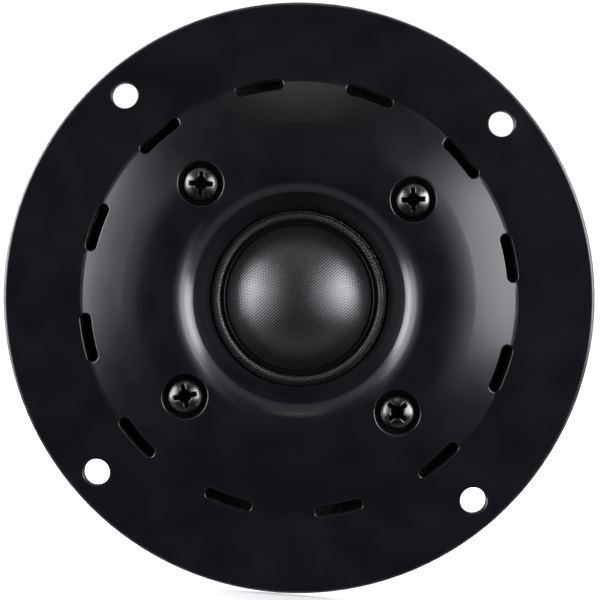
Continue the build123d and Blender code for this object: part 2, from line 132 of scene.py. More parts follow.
def start_group(name, values, patterns):
    """A node group that takes a place on the object and some plain values, and gives out patterns."""
    group = bpy.data.node_groups.new(name, "ShaderNodeTree")
    group.interface.new_socket("Vector", in_out="INPUT", socket_type="NodeSocketVector")
    for value in values:
        group.interface.new_socket(value, in_out="INPUT", socket_type="NodeSocketFloat")
    for pattern in patterns:
        group.interface.new_socket(pattern, in_out="OUTPUT", socket_type="NodeSocketFloat")
    return group, group.nodes.new("NodeGroupInput"), group.nodes.new("NodeGroupOutput")


def use_group(tree, group, vector, **values):
    node = tree.nodes.new("ShaderNodeGroup")
    node.node_tree = group
    tree.links.new(vector, node.inputs["Vector"])
    for name, value in values.items():
        node.inputs[name].default_value = value
    return node


# Fine grain, and the slow mottling under it
grain_group, given, gives = start_group("grain", ["Size"], ["Fine", "Mottle"])
place = given.outputs["Vector"]
per_metre = maths(grain_group, "DIVIDE", 1.0, given.outputs["Size"])
fine = put(grain_group, "TexNoise", {"Vector": place, "Scale": per_metre, "Detail": 1.0})
slow_scale = maths(grain_group, "MULTIPLY", per_metre, 0.03)
slow = put(grain_group, "TexNoise", {"Vector": place, "Scale": slow_scale, "Detail": 4.0})
grain_group.links.new(fine.outputs[0], gives.inputs["Fine"])
grain_group.links.new(slow.outputs[0], gives.inputs["Mottle"])

# Wear on a round edge about the firing axis, at this radius and height: rubbed here and there
wear_group, given, gives = start_group("rim wear", ["Radius", "Height", "Width"], ["Mask"])
place = given.outputs["Vector"]
reach, parts = from_axis(wear_group, place)
out_by = maths(wear_group, "SUBTRACT", reach, given.outputs["Radius"])
up_by = maths(wear_group, "ADD", parts.outputs[1], given.outputs["Height"])
offset = put(wear_group, "CombineXYZ", {0: out_by, 1: up_by})
miss = put(wear_group, "VectorMath", {0: offset.outputs[0]}, operation="LENGTH").outputs["Value"]
nearness = maths(wear_group, "SUBTRACT", 1.0, maths(wear_group, "DIVIDE", miss, given.outputs["Width"]))
rubbed = put(wear_group, "TexNoise", {"Vector": place, "Scale": 420.0, "Detail": 5.0})
patchy = spread(wear_group, rubbed.outputs[0], 0.38, 0.68, 0.15, 1)
worn = maths(wear_group, "MULTIPLY", spread(wear_group, nearness, 0, 1, 0, 1), patchy)
wear_group.links.new(worn, gives.inputs["Mask"])

# Dust that has settled on surfaces that face up, and specks of it anywhere
dust_group, given, gives = start_group("dust", ["Amount"], ["Mask"])
place = given.outputs["Vector"]
facing_up = put(dust_group, "SeparateXYZ", {0: put(dust_group, "TexCoord").outputs["Normal"]}).outputs[2]
film = put(dust_group, "TexNoise", {"Vector": place, "Scale": 150.0, "Detail": 6.0, "Roughness": 0.7})
speck = put(dust_group, "TexVoronoi", {"Vector": place, "Scale": 520.0})
chance = put(dust_group, "SeparateColor", {0: speck.outputs["Color"]}).outputs[0]
speck_size = spread(dust_group, chance, 0.9, 1, 0, 0.13)
specks = maths(dust_group, "LESS_THAN", speck.outputs["Distance"], speck_size)
upward = spread(dust_group, facing_up, 0.1, 1, 0.06, 1)
settled = maths(dust_group, "MULTIPLY", upward, spread(dust_group, film.outputs[0], 0.4, 0.8, 0, 1))
dusty = maths(dust_group, "MULTIPLY", maths(dust_group, "MAXIMUM", settled, specks), given.outputs["Amount"])
dust_group.links.new(dusty, gives.inputs["Mask"])

# Rings left by the turning tool on a face, about the firing axis
turned_group, given, gives = start_group("turned", ["Pitch"], ["Height"])
reach, parts = from_axis(turned_group, given.outputs["Vector"])
across = maths(turned_group, "ADD", reach, parts.outputs[1])
pass_number = maths(turned_group, "DIVIDE", across, given.outputs["Pitch"])
rings = put(
    turned_group, "TexNoise", {"W": pass_number, "Scale": 1.0, "Detail": 3.0}, noise_dimensions="1D"
)
turned_group.links.new(rings.outputs[0], gives.inputs["Height"])


def start_material(name, **values):
    """A material with its shader's plain settings, and the place on the object that its patterns read."""
    material = bpy.data.materials.new(name)
    material.use_nodes = True
    tree = material.node_tree
    shader = tree.nodes["Principled BSDF"]
    for socket, value in values.items():
        shader.inputs[socket.replace("_", " ")].default_value = value
    return material, tree, shader, put(tree, "TexCoord").outputs["Object"]


def paint(tree, shader, colour, roughness):
    """Joins a colour and a roughness pattern to a material's shader."""
    tree.links.new(colour, shader.inputs["Base Color"])
    tree.links.new(roughness, shader.inputs["Roughness"])


def bump(tree, shader, height, distance, strength=1.0, under=None):
    """Raises the surface by a height pattern, on top of another bump if one is given."""
    node = put(tree, "Bump", {"Height": height, "Distance": distance, "Strength": strength})
    if under:
        tree.links.new(under.outputs[0], node.inputs["Normal"])
    tree.links.new(node.outputs[0], shader.inputs["Normal"])
    return node


def finish_node(node, material):
    """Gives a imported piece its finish."""
    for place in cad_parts[node].material_slots:
        place.material = material


plate_edge_radius = 34.8
plate_edge_height = -23.8
zinc, tree, shader, place = start_material("zinc_plated_steel", Metallic=1.0)
grain = use_group(tree, grain_group, place, Size=0.35 * MM)
rim = use_group(
    tree, wear_group, place,
    Radius=plate_edge_radius * MM, Height=plate_edge_height * MM, Width=0.7 * MM,
)
dust = use_group(tree, dust_group, place, Amount=0.35)
lathe = use_group(tree, turned_group, place, Pitch=0.22 * MM)
spangle = put(tree, "TexVoronoi", {"Vector": place, "Scale": 260.0})
cloudy = over_noise(tree, grain.outputs["Mottle"], 0, 1)
bright = tint(tree, cloudy, (0.5, 0.505, 0.52), (0.58, 0.58, 0.575))
rubbed_bright = tint(tree, rim.outputs["Mask"], bright, (0.74, 0.73, 0.7))
dulled = tint(tree, dust.outputs["Mask"], rubbed_bright, (0.3, 0.28, 0.25))
paint(tree, shader, dulled, spread(tree, spangle.outputs["Color"], 0, 1, 0.28, 0.36))
rings = bump(tree, shader, lathe.outputs["Height"], 0.012 * MM, 0.7)
bump(tree, shader, grain.outputs["Fine"], 0.006 * MM, 0.5, rings)
for node in ("top_plate", "back_plate", "pole_piece"):
    finish_node(node, zinc)


# -----------------------------------------------------------------------------
# Magnet: a sintered ferrite ring, ground flat on both faces and left as fired on its rim. A bead of
# two-part adhesive squeezes out at each plate and sets in an uneven ring.
# -----------------------------------------------------------------------------
magnet_low, magnet_high = (Vector(corner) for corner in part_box("magnet"))
magnet_radius = magnet_high.x

ferrite, tree, shader, place = start_material("ferrite")
grain = use_group(tree, grain_group, place, Size=0.28 * MM)
rim = use_group(
    tree, wear_group, place,
    Radius=magnet_radius - 0.2 * MM, Height=-magnet_high.y + 0.4 * MM, Width=0.8 * MM,
)
dust = use_group(tree, dust_group, place, Amount=0.4)
pits = put(tree, "TexVoronoi", {"Vector": place, "Scale": 1500.0, "Randomness": 1.0})
pitted = spread(tree, pits.outputs["Distance"], 0.05, 0.3, 0, 1)
clouds = over_noise(tree, grain.outputs["Mottle"], 0, 1)
fired = tint(tree, clouds, (0.016, 0.0155, 0.016), (0.032, 0.03, 0.03))
chipped = tint(tree, rim.outputs["Mask"], fired, (0.1, 0.098, 0.1))
dulled = tint(tree, dust.outputs["Mask"], chipped, (0.16, 0.15, 0.14))
paint(tree, shader, dulled, over_noise(tree, grain.outputs["Mottle"], 0.5, 0.68))
sunk = bump(tree, shader, pitted, 0.03 * MM, 0.5)
bump(tree, shader, grain.outputs["Fine"], 0.02 * MM, 0.8, sunk)
finish_node("magnet", ferrite)


def deselect_all():
    for item in bpy.context.selected_objects:
        item.select_set(False)


def turn_profile(name, profile, steps, sweep=2 * pi, start=0.0):
    """A piece turned about the firing axis: its profile, as (radius, height) in mm, is drawn out point
    by point and spun. Height is distance forward."""
    deselect_all()
    bpy.ops.mesh.primitive_plane_add(size=MM)
    piece = bpy.context.object
    piece.name = name
    bpy.ops.object.mode_set(mode="EDIT")
    bpy.ops.mesh.select_all(action="SELECT")
    bpy.ops.mesh.merge(type="CENTER")
    points = [Vector((radius * cos(start), -height, radius * sin(start))) * MM for radius, height in profile]
    bpy.ops.transform.translate(value=points[0])
    for before, after in zip(points, points[1:]):
        bpy.ops.mesh.extrude_region_move(TRANSFORM_OT_translate={"value": after - before})
    bpy.ops.mesh.select_all(action="SELECT")
    ends = bmesh.from_edit_mesh(piece.data)
    ends.verts.ensure_lookup_table()
    loose = [vert for vert in ends.verts if len(vert.link_edges) == 1]
    bpy.ops.mesh.select_all(action="DESELECT")
    for vert in loose:
        vert.select = True
    bmesh.update_edit_mesh(piece.data)
    bpy.ops.mesh.edge_face_add()
    bpy.ops.mesh.select_all(action="SELECT")
    whole = sweep == 2 * pi
    bpy.ops.mesh.spin(steps=steps, angle=sweep, center=(0, 0, 0), axis=(0, 1, 0), use_auto_merge=whole)
    bpy.ops.mesh.select_all(action="SELECT")
    bpy.ops.mesh.remove_doubles(threshold=0.002 * MM)
    if not whole:
        bpy.ops.mesh.select_all(action="DESELECT")
        bpy.ops.mesh.select_non_manifold()
        bpy.ops.mesh.edge_face_add()
        bpy.ops.mesh.select_all(action="SELECT")
    bpy.ops.mesh.normals_make_consistent(inside=False)
    bpy.ops.object.mode_set(mode="OBJECT")
    bpy.ops.object.shade_smooth_by_angle(angle=radians(40))
    return piece


def roughen(piece, size, strength):
    """Moves a mesh in and out by a clouded pattern, for good."""
    pattern = bpy.data.textures.new(piece.name + "_unevenness", "CLOUDS")
    pattern.noise_scale = size
    modifier = piece.modifiers.new("unevenness", "DISPLACE")
    modifier.texture = pattern
    modifier.strength = strength
    modifier.direction = "NORMAL"
    modifier.texture_coords = "LOCAL"
    bpy.context.view_layer.objects.active = piece
    bpy.ops.object.modifier_apply(modifier="unevenness")


def give(piece, material, body, *nodes, slot=None):
    """Gives a new piece its finish and its body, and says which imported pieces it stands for."""
    piece.data.materials.clear()
    piece.data.materials.append(material)
    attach(piece, body)
    if nodes:
        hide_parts(*nodes)


adhesive, tree, shader, place = start_material("set_adhesive", Coat_Weight=0.4, Coat_Roughness=0.2)
grain = use_group(tree, grain_group, place, Size=0.6 * MM)
dust = use_group(tree, dust_group, place, Amount=0.5)
amber = tint(tree, over_noise(tree, grain.outputs["Fine"], 0, 1), (0.05, 0.045, 0.035), (0.085, 0.075, 0.05))
dulled = tint(tree, dust.outputs["Mask"], amber, (0.2, 0.19, 0.17))
paint(tree, shader, dulled, over_noise(tree, grain.outputs["Mottle"], 0.25, 0.5))
bump(tree, shader, grain.outputs["Fine"], 0.05 * MM, 0.5)

plate_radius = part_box("back_plate")[1][0] / MM
magnet_front = -magnet_low.y / MM
magnet_rear = -magnet_high.y / MM
bead_shape = [(0.8, 0.0), (0.7, 0.25), (0.45, 0.5), (0.0, 0.62)]
bead_reach = 0.55
bead_width = 1.9
bead_overlap = 0.85


def adhesive_bead(name, magnet_face, outward, unevenness):
    """A bead round a plate's rim, where it meets the magnet. outward is 1 at the front and -1 behind."""
    root = plate_radius - 0.6
    crown = [
        (plate_radius - 0.02 + along * bead_reach, magnet_face + outward * (up * bead_width - bead_overlap))
        for along, up in bead_shape
    ]
    profile = [(root, magnet_face - outward * 0.1)] + crown + [(root, magnet_face + outward * 0.4)]
    bead = turn_profile(name, profile, 192)
    roughen(bead, unevenness * MM, 0.22 * MM)
    give(bead, adhesive, "motor")


adhesive_bead("adhesive_bead_front", magnet_front, 1, 3.5)
adhesive_bead("adhesive_bead_rear", magnet_rear, -1, 4.5)


# -----------------------------------------------------------------------------
# Copper cap: drawn from thin sheet and pushed over the pole tip. A ring of pressed wool felt is glued
# on its face, under the dome.
# -----------------------------------------------------------------------------
copper, tree, shader, place = start_material("drawn_copper", Metallic=1.0)
grain = use_group(tree, grain_group, place, Size=0.3 * MM)
lathe = use_group(tree, turned_group, place, Pitch=0.3 * MM)
fresh = tint(tree, over_noise(tree, grain.outputs["Mottle"], 0, 1), (0.6, 0.27, 0.15), (0.78, 0.4, 0.26))
paint(tree, shader, fresh, over_noise(tree, grain.outputs["Mottle"], 0.22, 0.4))
bump(tree, shader, lathe.outputs["Height"], 0.01 * MM, 0.6)
finish_node("copper_cap", copper)

felt_low, felt_high = (Vector(corner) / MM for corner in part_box("pole_felt"))
felt_rear = -felt_high.y
felt_front = -felt_low.y
felt_hole = 5.5
pressed_felt, tree, shader, place = start_material("pressed_felt", Sheen_Weight=0.5, Roughness=0.95)
grain = use_group(tree, grain_group, place, Size=0.12 * MM)
tufts = tint(tree, over_noise(tree, grain.outputs["Fine"], 0, 1), (0.2, 0.19, 0.18), (0.42, 0.4, 0.37))
tree.links.new(tufts, shader.inputs["Base Color"])
bump(tree, shader, grain.outputs["Fine"], 0.12 * MM, 0.9)
felt = turn_profile(
    "felt_ring",
    [
        (felt_hole, felt_rear),
        (felt_high.x, felt_rear),
        (felt_high.x, felt_front - 0.3),
        (felt_high.x - 0.3, felt_front - 0.05),
        ((felt_hole + felt_high.x) / 2, felt_front),
        (felt_hole + 0.3, felt_front - 0.05),
        (felt_hole, felt_front - 0.3),
    ],
    96,
)
roughen(felt, 0.7 * MM, 0.06 * MM)
give(felt, pressed_felt, "motor", "pole_felt", slot="felt")


# -----------------------------------------------------------------------------
# Rear chamber: an injection-moulded cup, spark-grained outside, on a die-cut foam gasket. It is loosely
# filled with polyester wool and held by three pan-head screws.
# -----------------------------------------------------------------------------
def moulded(name, low, high, grain_size, roughness, edge_radius, edge_height):
    """Black moulded plastic with a spark-eroded grain, lighter where an edge has been rubbed."""
    material, tree, shader, place = start_material(name)
    grain = use_group(tree, grain_group, place, Size=grain_size)
    edge = {"Radius": edge_radius * MM, "Height": edge_height * MM, "Width": 0.5 * MM}
    rim = use_group(tree, wear_group, place, **edge)
    dust = use_group(tree, dust_group, place, Amount=0.12)
    skin = tint(tree, over_noise(tree, grain.outputs["Mottle"], 0, 1), low, high)
    rubbed = tint(tree, rim.outputs["Mask"], skin, tuple(2.6 * part for part in high))
    dulled = tint(tree, dust.outputs["Mask"], rubbed, (0.11, 0.105, 0.1))
    paint(tree, shader, dulled, over_noise(tree, grain.outputs["Mottle"], *roughness))
    bump(tree, shader, grain.outputs["Fine"], 0.02 * MM, 0.6)
    return material


chamber_plastic = moulded(
    "spark_grained_plastic",
    low=(0.012, 0.012, 0.013),
    high=(0.02, 0.02, 0.021),
    grain_size=0.22 * MM,
    roughness=(0.44, 0.49),
    edge_radius=21.6,
    edge_height=-39.3,
)
finish_node("rear_chamber", chamber_plastic)

foam_sheet, tree, shader, place = start_material("die_cut_foam", Sheen_Weight=0.15)
grain = use_group(tree, grain_group, place, Size=0.4 * MM)
dust = use_group(tree, dust_group, place, Amount=0.2)
cells = put(tree, "TexVoronoi", {"Vector": place, "Scale": 2600.0}, feature="SMOOTH_F1")
walls = spread(tree, cells.outputs["Distance"], 0.1, 0.6, 0, 1)
dark = tint(tree, walls, (0.006, 0.006, 0.0065), (0.02, 0.02, 0.021))
dulled = tint(tree, dust.outputs["Mask"], dark, (0.09, 0.085, 0.08))
paint(tree, shader, dulled, over_noise(tree, grain.outputs["Mottle"], 0.75, 0.95))
bump(tree, shader, walls, 0.12 * MM, 0.9)


def foam_washer(name, inner, outer, rear, front, holes, hole_radius, steps):
    """A flat foam ring whose cut edges bulge a little, with round holes through it."""
    middle = (rear + front) / 2
    swell = (front - rear) * 0.12
    washer = turn_profile(
        name,
        [
            (inner, rear),
            (outer - swell, rear),
            (outer, middle),
            (outer - swell, front),
            (inner, front),
            (inner - swell * 0.5, middle),
        ],
        steps,
    )
    for x, z in holes:
        deselect_all()
        bpy.ops.mesh.primitive_cylinder_add(
            vertices=32, radius=hole_radius * MM, depth=4 * (front - rear) * MM,
            location=(x * MM, -middle * MM, z * MM), rotation=(pi / 2, 0, 0),
        )
        punch = bpy.context.object
        cut = washer.modifiers.new("hole", "BOOLEAN")
        cut.operation = "DIFFERENCE"
        cut.object = punch
        bpy.context.view_layer.objects.active = washer
        bpy.ops.object.modifier_apply(modifier="hole")
        bpy.data.objects.remove(punch)
    return washer


def on_circle(radius, count, first):
    """Places round the firing axis, as (x, z)."""
    turns = [radians(first + number * 360 / count) for number in range(count)]
    return [(radius * cos(turn), radius * sin(turn)) for turn in turns]


gasket_low, gasket_high = (Vector(corner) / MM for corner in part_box("chamber_gasket"))
chamber_gasket_bore = 20.0
chamber_screw_circle = 26.0
chamber_gasket = foam_washer(
    "foam_gasket_rear",
    inner=chamber_gasket_bore,
    outer=gasket_high.x,
    rear=-gasket_high.y,
    front=-gasket_low.y,
    holes=on_circle(chamber_screw_circle, 3, 90),
    hole_radius=1.7,
    steps=144,
)
give(chamber_gasket, foam_sheet, "motor", "chamber_gasket", slot="black_foam")

wool_low, wool_high = (Vector(corner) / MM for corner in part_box("chamber_wool"))
wool_rear = -wool_high.y
wool_front = -wool_low.y
loose_wool, tree, shader, place = start_material("polyester_wool", Sheen_Weight=0.6, Subsurface_Weight=0.2)
grain = use_group(tree, grain_group, place, Size=0.5 * MM)
fibres = tint(tree, over_noise(tree, grain.outputs["Fine"], 0, 1), (0.55, 0.55, 0.53), (0.86, 0.86, 0.84))
paint(tree, shader, fibres, over_noise(tree, grain.outputs["Mottle"], 0.85, 1.0))
bump(tree, shader, grain.outputs["Fine"], 0.4 * MM, 1.0)
wool_edge = wool_high.x
wool = turn_profile(
    "wool_fill",
    [
        (0.01, wool_rear + 0.2),
        (wool_edge * 0.8, wool_rear + 0.2),
        (wool_edge - 0.5, wool_rear + 1.2),
        (wool_edge - 0.4, (wool_rear + wool_front) / 2),
        (wool_edge - 0.8, wool_front - 1.6),
        (wool_edge * 0.75, wool_front - 0.5),
        (wool_edge * 0.35, wool_front - 0.8),
        (0.01, wool_front - 0.6),
    ],
    72,
)
fill = wool.modifiers.new("fill", "SUBSURF")
fill.levels = 2
fill.render_levels = 2
bpy.context.view_layer.objects.active = wool
bpy.ops.object.modifier_apply(modifier="fill")
roughen(wool, 2.5 * MM, 0.5 * MM)
give(wool, loose_wool, "motor", "chamber_wool", slot="wool")


# -----------------------------------------------------------------------------
# Screws: case-hardened steel with a dark nickel finish, rolled threads and a punched cross recess. Four
# hold the faceplate to the top plate and three hold the rear chamber.
# -----------------------------------------------------------------------------
faceplate_screw_circle = 26.4
screw_head_rise = 0.95
screw_head_reach = 3.0
recess_reach = 2.3
head_sphere = (screw_head_rise**2 + screw_head_reach**2) / (2 * screw_head_rise)


def dark_nickel(name, head_top, find_axes):
    """Dark nickel over steel. The punched recess is coloured near black as painted shade, and a thin band
    round its edges is coloured bright as a painted highlight. find_axes gives each point's offset from its
    own screw's axis."""
    material, tree, shader, place = start_material(name, Metallic=1.0)
    grain = use_group(tree, grain_group, place, Size=0.16 * MM)
    parts = put(tree, "SeparateXYZ", {0: place})
    across, along = find_axes(tree, parts)
    square = maths(tree, "MULTIPLY_ADD", across, across, maths(tree, "MULTIPLY", along, along))
    sagged = maths(tree, "SUBTRACT", (head_sphere * MM) ** 2, square)
    skin = maths(tree, "SUBTRACT", head_sphere * MM, maths(tree, "SQRT", sagged))
    below_top = maths(tree, "ABSOLUTE", maths(tree, "ADD", parts.outputs[1], head_top * MM))
    sunk = maths(tree, "SUBTRACT", below_top, skin)
    within = maths(tree, "LESS_THAN", square, (recess_reach * MM) ** 2)
    # Painted shade: the recess sunk below the head's crown is coloured near black
    recess = maths(tree, "MULTIPLY", spread(tree, sunk, 0.16 * MM, 0.3 * MM, 0, 1), within)
    # Painted highlight: a thin band round the recess edges is coloured bright
    edge_highlight = maths(tree, "MULTIPLY", spread(tree, sunk, 0.01 * MM, 0.04 * MM, 0, 1), within)
    clouds = spread(tree, grain.outputs["Mottle"], 0.35, 0.65, 0, 1)
    plating = tint(tree, clouds, (0.19, 0.186, 0.176), (0.26, 0.254, 0.24))
    scratched = put(tree, "TexNoise", {"Vector": place, "Scale": 1500.0, "Detail": 6.0, "Roughness": 0.75})
    edge_highlighted = tint(tree, edge_highlight, plating, (0.8, 0.78, 0.72))
    recess_shaded = tint(tree, recess, edge_highlighted, (0.012, 0.012, 0.012))
    paint(tree, shader, recess_shaded, over_noise(tree, scratched.outputs[0], 0.16, 0.34))
    rounded = put(tree, "Bevel", {"Radius": 0.22 * MM}, samples=8)
    bump(tree, shader, scratched.outputs[0], 0.008 * MM, 0.4, rounded)
    return material


def four_screws(tree, parts):
    """Folds the four faceplate screws on to one, since they stand on a square."""
    offset = faceplate_screw_circle * sin(radians(45)) * MM
    across = maths(tree, "SUBTRACT", maths(tree, "ABSOLUTE", parts.outputs[0]), offset)
    along = maths(tree, "SUBTRACT", maths(tree, "ABSOLUTE", parts.outputs[2]), offset)
    return across, along


def three_screws(tree, parts):
    """Folds the three chamber screws on to one: the top one, or the lower pair."""
    low = maths(tree, "LESS_THAN", parts.outputs[2], 0.0)
    aside = maths(tree, "MULTIPLY", low, chamber_screw_circle * cos(radians(30)) * MM)
    across = maths(tree, "SUBTRACT", maths(tree, "ABSOLUTE", parts.outputs[0]), aside)
    drop = chamber_screw_circle * (1 + sin(radians(30))) * MM
    centre = maths(tree, "MULTIPLY_ADD", low, -drop, chamber_screw_circle * MM)
    return across, maths(tree, "SUBTRACT", parts.outputs[2], centre)


screw_top = -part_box("faceplate_screws")[0][1] / MM
finish_node("faceplate_screws", dark_nickel("dark_nickel_front", screw_top, four_screws))
chamber_screw_top = -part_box("chamber_screws")[1][1] / MM
finish_node("chamber_screws", dark_nickel("dark_nickel_rear", chamber_screw_top, three_screws))


# -----------------------------------------------------------------------------
# Terminals: a strip of paper laminate whose tongue plugs into the back of the flange, with a wide tab
# and a narrow one of tinned brass. A turned brass rivet clenches each tab to the strip.
# -----------------------------------------------------------------------------
laminate, tree, shader, place = start_material("paper_laminate", Coat_Weight=0.25, Coat_Roughness=0.25)
grain = use_group(tree, grain_group, place, Size=0.3 * MM)
dust = use_group(tree, dust_group, place, Amount=0.3)
plies = {"Vector": place, "Scale": 1400.0, "Distortion": 3.0, "Detail": 3.0}
layers = put(tree, "TexWave", plies, bands_direction="Z")
paper = tint(tree, layers.outputs["Fac"], (0.095, 0.038, 0.016), (0.2, 0.09, 0.038))
dulled = tint(tree, dust.outputs["Mask"], paper, (0.3, 0.26, 0.22))
paint(tree, shader, dulled, over_noise(tree, grain.outputs["Mottle"], 0.35, 0.5))
bump(tree, shader, grain.outputs["Fine"], 0.015 * MM, 0.5)
finish_node("terminal_board", laminate)

tinned, tree, shader, place = start_material("tinned_brass", Metallic=1.0)
grain = use_group(tree, grain_group, place, Size=0.25 * MM)
rolled = put(tree, "Mapping", {"Vector": place, "Scale": (9000.0, 700.0, 700.0)})
rolling = put(tree, "TexNoise", {"Vector": rolled.outputs[0], "Scale": 1.0, "Detail": 3.0})
tin = tint(tree, over_noise(tree, grain.outputs["Mottle"], 0, 1), (0.58, 0.56, 0.52), (0.76, 0.74, 0.7))
paint(tree, shader, tin, over_noise(tree, rolling.outputs[0], 0.2, 0.38))
bump(tree, shader, rolling.outputs[0], 0.008 * MM, 0.6)
finish_node("terminal_positive", tinned)
finish_node("terminal_negative", tinned)

brass, tree, shader, place = start_material("turned_brass", Metallic=1.0)
grain = use_group(tree, grain_group, place, Size=0.2 * MM)
dust = use_group(tree, dust_group, place, Amount=0.3)
yellow = tint(tree, over_noise(tree, grain.outputs["Mottle"], 0, 1), (0.62, 0.42, 0.16), (0.8, 0.6, 0.3))
dulled = tint(tree, dust.outputs["Mask"], yellow, (0.25, 0.2, 0.14))
paint(tree, shader, dulled, over_noise(tree, grain.outputs["Fine"], 0.2, 0.36))
bump(tree, shader, grain.outputs["Fine"], 0.01 * MM, 0.6)
finish_node("terminal_rivets", brass)


# -----------------------------------------------------------------------------
# Diaphragm ring: a flat moulded ring that sits on the top plate over two ground steel pins. The
# surround is glued to its front face.
# -----------------------------------------------------------------------------
ring_plastic = moulded(
    "ring_plastic",
    low=(0.013, 0.013, 0.014),
    high=(0.022, 0.022, 0.023),
    grain_size=0.18 * MM,
    roughness=(0.35, 0.5),
    edge_radius=22,
    edge_height=1.2,
)
finish_node("diaphragm_ring", ring_plastic)

ground_steel, tree, shader, place = start_material("ground_steel", Metallic=1.0)
grain = use_group(tree, grain_group, place, Size=0.1 * MM)
shine = tint(tree, over_noise(tree, grain.outputs["Fine"], 0, 1), (0.55, 0.55, 0.56), (0.7, 0.7, 0.7))
paint(tree, shader, shine, over_noise(tree, grain.outputs["Fine"], 0.15, 0.3))
bump(tree, shader, grain.outputs["Fine"], 0.004 * MM, 0.5)
finish_node("locating_pins", ground_steel)


# -----------------------------------------------------------------------------
# Voice coil: enamelled copper-clad wire in two close layers on a thin aluminium former. The former is
# glued under the dome's brim, and the whole coil moves with the dome.
# -----------------------------------------------------------------------------
foil, tree, shader, place = start_material("rolled_foil", Metallic=1.0)
grain = use_group(tree, grain_group, place, Size=0.15 * MM)
silver = tint(tree, over_noise(tree, grain.outputs["Mottle"], 0, 1), (0.66, 0.67, 0.69), (0.8, 0.8, 0.81))
paint(tree, shader, silver, over_noise(tree, grain.outputs["Fine"], 0.18, 0.35))
bump(tree, shader, grain.outputs["Fine"], 0.006 * MM, 0.5)
finish_node("voice_coil_former", foil)

wire_pitch = 0.13
enamel_coat = {"Metallic": 0.9, "Coat_Weight": 0.6, "Coat_Roughness": 0.12}
enamel, tree, shader, place = start_material("enamelled_wire", **enamel_coat)
grain = use_group(tree, grain_group, place, Size=0.3 * MM)
along = put(tree, "SeparateXYZ", {0: place}).outputs[1]
turns = maths(tree, "SINE", maths(tree, "MULTIPLY", along, 2 * pi / (wire_pitch * MM)))
wire = tint(tree, spread(tree, turns, -1, 1, 0, 1), (0.32, 0.11, 0.04), (0.68, 0.3, 0.13))
paint(tree, shader, wire, over_noise(tree, grain.outputs["Fine"], 0.22, 0.36))
bump(tree, shader, turns, 0.03 * MM, 0.9)
finish_node("voice_coil_winding", enamel)

lead_enamel, tree, shader, place = start_material("lead_enamel", **enamel_coat)
grain = use_group(tree, grain_group, place, Size=0.4 * MM)
ruddy = tint(tree, over_noise(tree, grain.outputs["Fine"], 0, 1), (0.5, 0.19, 0.08), (0.72, 0.33, 0.16))
paint(tree, shader, ruddy, over_noise(tree, grain.outputs["Mottle"], 0.2, 0.34))
bump(tree, shader, grain.outputs["Fine"], 0.01 * MM, 0.4)


# -----------------------------------------------------------------------------
# Dome and surround: silk cloth, coated with damping resin and hot-formed. The dome's brim is glued on
# the end of the former, and the surround rolls from it out to a flat margin on the ring.
# -----------------------------------------------------------------------------
thread_pitch = 0.42 * MM
thread_turn = radians(45)
thread_stray = 0.14 * MM
weft_closeness = 1.35

weave_group, given, gives = start_group("coated weave", ["Thread", "Turn"], ["Height", "Gap"])
place = given.outputs["Vector"]
turned_by = {"Vector": place, "Angle": given.outputs["Turn"]}
laid = put(weave_group, "VectorRotate", turned_by, rotation_type="Y_AXIS")
wander = put(weave_group, "TexNoise", {"Vector": place, "Scale": 350.0, "Detail": 2.0})
stray = {0: wander.outputs["Color"], 1: (thread_stray,) * 3}
strayed = put(weave_group, "VectorMath", stray, operation="MULTIPLY")
shifted = put(weave_group, "VectorMath", {0: laid.outputs[0], 1: strayed.outputs[0]}, operation="ADD")
parts = put(weave_group, "SeparateXYZ", {0: shifted.outputs[0]})
per_thread = maths(weave_group, "DIVIDE", pi, given.outputs["Thread"])
per_weft = maths(weave_group, "MULTIPLY", per_thread, weft_closeness)
warp = maths(weave_group, "SINE", maths(weave_group, "MULTIPLY", parts.outputs[2], per_thread))
weft = maths(weave_group, "SINE", maths(weave_group, "MULTIPLY", parts.outputs[0], per_weft))
over = maths(weave_group, "MULTIPLY", warp, weft)
warp_lift = maths(weave_group, "MULTIPLY_ADD", over, 0.3, 0.7)
weft_lift = maths(weave_group, "MULTIPLY_ADD", over, -0.3, 0.45)
warp_up = maths(weave_group, "MULTIPLY", maths(weave_group, "ABSOLUTE", warp), warp_lift)
weft_up = maths(weave_group, "MULTIPLY", maths(weave_group, "ABSOLUTE", weft), weft_lift)
raised = maths(weave_group, "MAXIMUM", warp_up, weft_up)
weave_group.links.new(raised, gives.inputs["Height"])
weave_group.links.new(spread(weave_group, raised, 0.2, 0.6, 1, 0), gives.inputs["Gap"])


def coated_cloth(name, depth, roughness, low, high):
    """Woven silk under a thin resin coat, which pools in the gaps between its threads and makes them
    rougher; the gaps are also coloured darker, as painted shade between the threads.
    """
    material, tree, shader, place = start_material(name, IOR=2.16)
    weave = use_group(tree, weave_group, place, Thread=thread_pitch, Turn=thread_turn)
    grain = use_group(tree, grain_group, place, Size=0.25 * MM)
    dust = use_group(tree, dust_group, place, Amount=0.1)
    # Painted shade: the gaps between threads take the darker colour
    cloth = tint(tree, weave.outputs["Gap"], high, low)
    dulled = tint(tree, dust.outputs["Mask"], cloth, (0.2, 0.2, 0.2))
    tree.links.new(dulled, shader.inputs["Base Color"])
    uneven = over_noise(tree, grain.outputs["Mottle"], *roughness)
    pooled = maths(tree, "MULTIPLY_ADD", weave.outputs["Gap"], 0.35, uneven)
    tree.links.new(pooled, shader.inputs["Roughness"])
    knots = bump(tree, shader, weave.outputs["Height"], depth, 0.8)
    bump(tree, shader, grain.outputs["Fine"], 0.004 * MM, 0.6, knots)
    return material


def second_finish_between(piece, material, inner, outer):
    """Gives the second finish to the faces between two radii."""
    piece.data.materials.append(material)
    for face in piece.data.polygons:
        reach = sqrt(face.center.x**2 + face.center.z**2) / MM
        face.material_index = 1 if inner < reach < outer else 0


def arc(centre, radius, first, last, steps):
    """Points round an arc, as (radius, height), between two angles turned from straight ahead."""
    turns = [first + (last - first) * step / steps for step in range(steps + 1)]
    return [(centre[0] + radius * sin(turn), centre[1] + radius * cos(turn)) for turn in turns]


